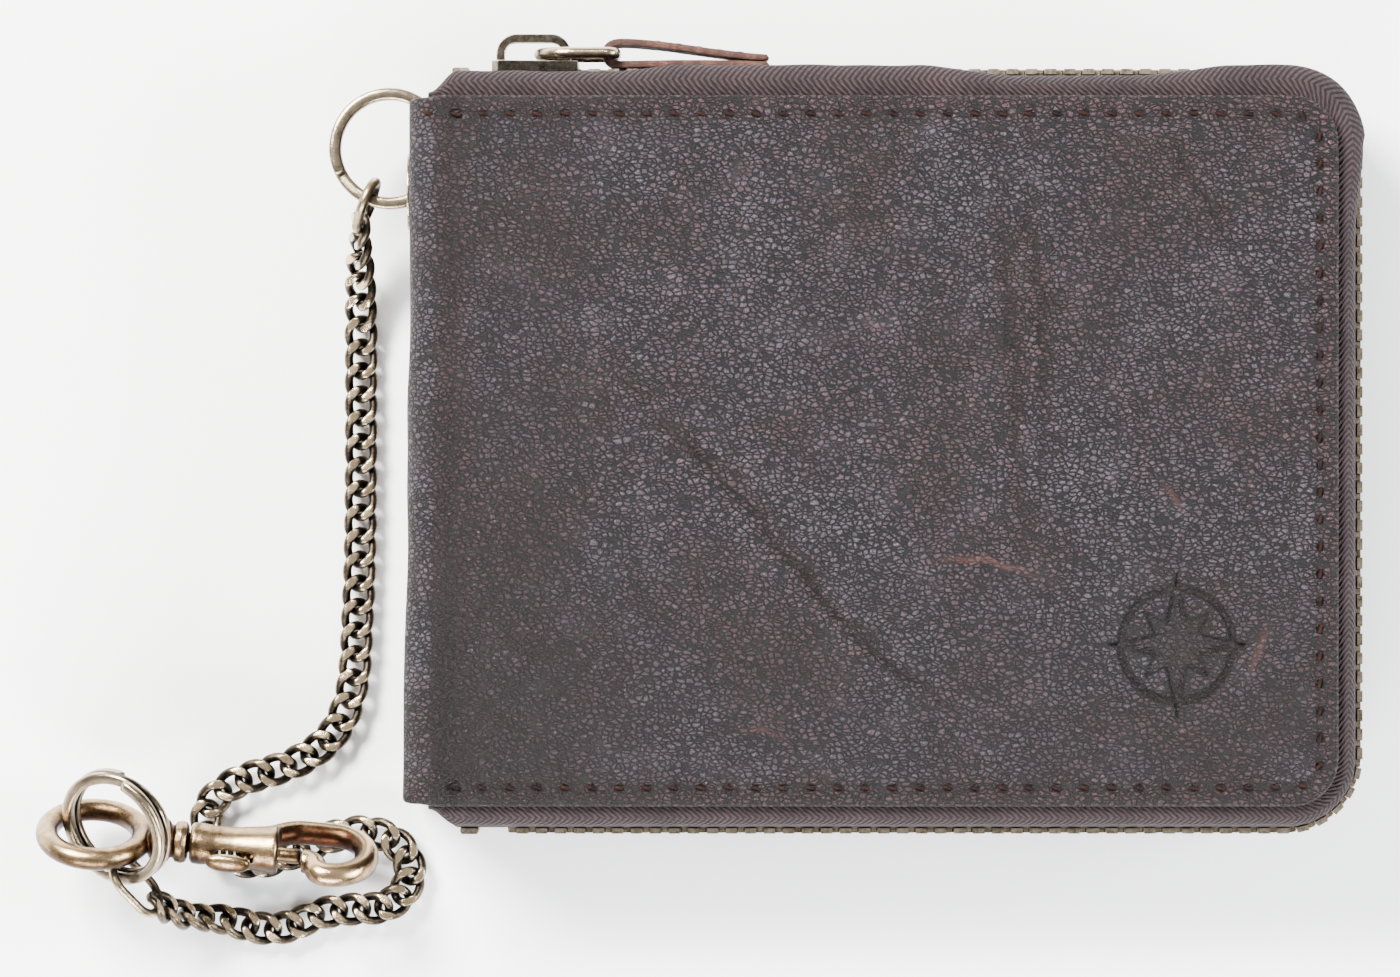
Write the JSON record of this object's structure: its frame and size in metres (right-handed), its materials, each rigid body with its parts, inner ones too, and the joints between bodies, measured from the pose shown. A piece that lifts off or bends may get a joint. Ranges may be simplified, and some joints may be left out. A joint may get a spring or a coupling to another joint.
{
  "type": "chain wallet",
  "caption": "zip-around bifold wallet in worn dark leather, with a split ring through a spine eyelet, a curb chain and a swivel trigger snap that clips to a belt loop",
  "frame": {"origin": "centre of the back cover's outer face", "axes": "+Z out of the front cover, +Y towards the wallet's top edge, +X from the spine towards the free edge"},
  "size_m": [0.1749, 0.1205, 0.026],
  "materials": {
    "leather": "worn dark brown full-grain leather with bluish rubbed tops",
    "leather_raw": "dark leather with rough cut edges",
    "lining": "dark brown twill lining",
    "pocket_leather": "thin dark brown leather",
    "clear_film": "clear soft plastic film",
    "zip_tape": "brown herringbone zip tape",
    "zip_brass": "antique brass, dark in the recesses",
    "antique_metal": "antique brass over nickel, rubbed bright on the high spots",
    "chain_metal": "antique plated curb chain",
    "spring_steel": "spring steel"
  },
  "bodies": {
    "back_half": {"back_cover": "leather", "spine": "leather", "spine_lining": "lining", "eyelet": "antique_metal", "eyelet_washer": "antique_metal", "back_lining": "lining", "tape_back": "zip_tape", "teeth_back": "zip_brass", "stop_back": "zip_brass", "end_retainer": "zip_brass", "note_wall": "lining", "card_backing": "pocket_leather", "card_pocket_upper": "pocket_leather", "card_pocket_middle": "pocket_leather", "card_pocket_lower": "pocket_leather", "id_film": "clear_film", "id_pocket": "pocket_leather"},
    "front_half": {"front_cover": "leather", "front_lining": "lining", "tape_front": "zip_tape", "teeth_front": "zip_brass", "stop_front": "zip_brass", "front_panel": "lining", "coin_gusset": "lining", "coin_face": "pocket_leather", "coin_binding": "pocket_leather"},
    "slider": {"slider_body": "zip_brass"},
    "pull_link": {"pull_link": "zip_brass"},
    "pull_tab": {"pull_tab": "leather_raw"},
    "wallet_ring": {"wallet_ring": "antique_metal"},
    "chain_upper": {"ring_link": "chain_metal", "chain_run": "chain_metal"},
    "chain_lower": {"chain_heap": "chain_metal", "clasp_link": "chain_metal"},
    "clasp_ring": {"clasp_ring": "antique_metal"},
    "swivel_eye": {"swivel_eye": "antique_metal"},
    "snap_hook": {"snap_body": "antique_metal", "trigger_spring": "spring_steel"},
    "trigger": {"trigger_bolt": "antique_metal"}
  },
  "joints": [
    {"name": "cover_hinge", "type": "hinge", "parent": "back_half", "child": "front_half", "pos_m": [-0.0585, 0, 0.0225], "axis": [0, -1, 0], "range_deg": [0, 170], "deforming": ["spine", "spine_lining"]},
    {"name": "slider_travel", "type": "slide", "parent": "back_half", "child": "slider", "axis": [1, 0, 0], "range_m": [0, 0.09], "deforming": ["teeth_front", "teeth_back", "tape_front", "tape_back"]},
    {"name": "pull_link_swing", "type": "hinge", "parent": "slider", "child": "pull_link", "pos_m": [-0.04525, 0.0523, 0.013], "axis": [0, 0, 1], "range_deg": [0, 150]},
    {"name": "pull_tab_swing", "type": "hinge", "parent": "pull_link", "child": "pull_tab", "pos_m": [-0.03525, 0.0523, 0.013], "axis": [0, 0, 1], "range_deg": [0, 30]},
    {"name": "wallet_ring_swing", "type": "hinge", "parent": "back_half", "child": "wallet_ring", "pos_m": [-0.061, 0.0342, 0.013], "axis": [0, 1, 0], "range_deg": [0, 6]},
    {"name": "chain_swing", "type": "hinge", "parent": "wallet_ring", "child": "chain_upper", "pos_m": [-0.0678, 0.0333, 0.013], "axis": [0, 0, 1], "range_deg": [-30, 1.5]},
    {"name": "chain_bend", "type": "hinge", "parent": "chain_upper", "child": "chain_lower", "pos_m": [-0.07024, -0.03011, 0.00194], "axis": [0, 0, 1], "range_deg": [-12, 12]},
    {"name": "clasp_ring_swing", "type": "hinge", "parent": "chain_lower", "child": "clasp_ring", "pos_m": [-0.098, -0.0558, 0.0134], "axis": [0, 0, 1], "range_deg": [-4, 4]},
    {"name": "eye_swing", "type": "hinge", "parent": "clasp_ring", "child": "swivel_eye", "pos_m": [-0.1085, -0.05, 0.015], "axis": [0, 0, 1], "range_deg": [-2, 2]},
    {"name": "hook_swivel", "type": "hinge", "parent": "swivel_eye", "child": "snap_hook", "pos_m": [-0.1041, -0.0506, 0.011], "axis": [0.9962, -0.0872, 0], "continuous": true},
    {"name": "trigger_slide", "type": "slide", "parent": "snap_hook", "child": "trigger", "axis": [-0.9962, 0.0872, 0], "range_m": [0, 0.0034], "stiffness_N_per_m": 60, "deforming": ["trigger_spring"]}
  ]
}
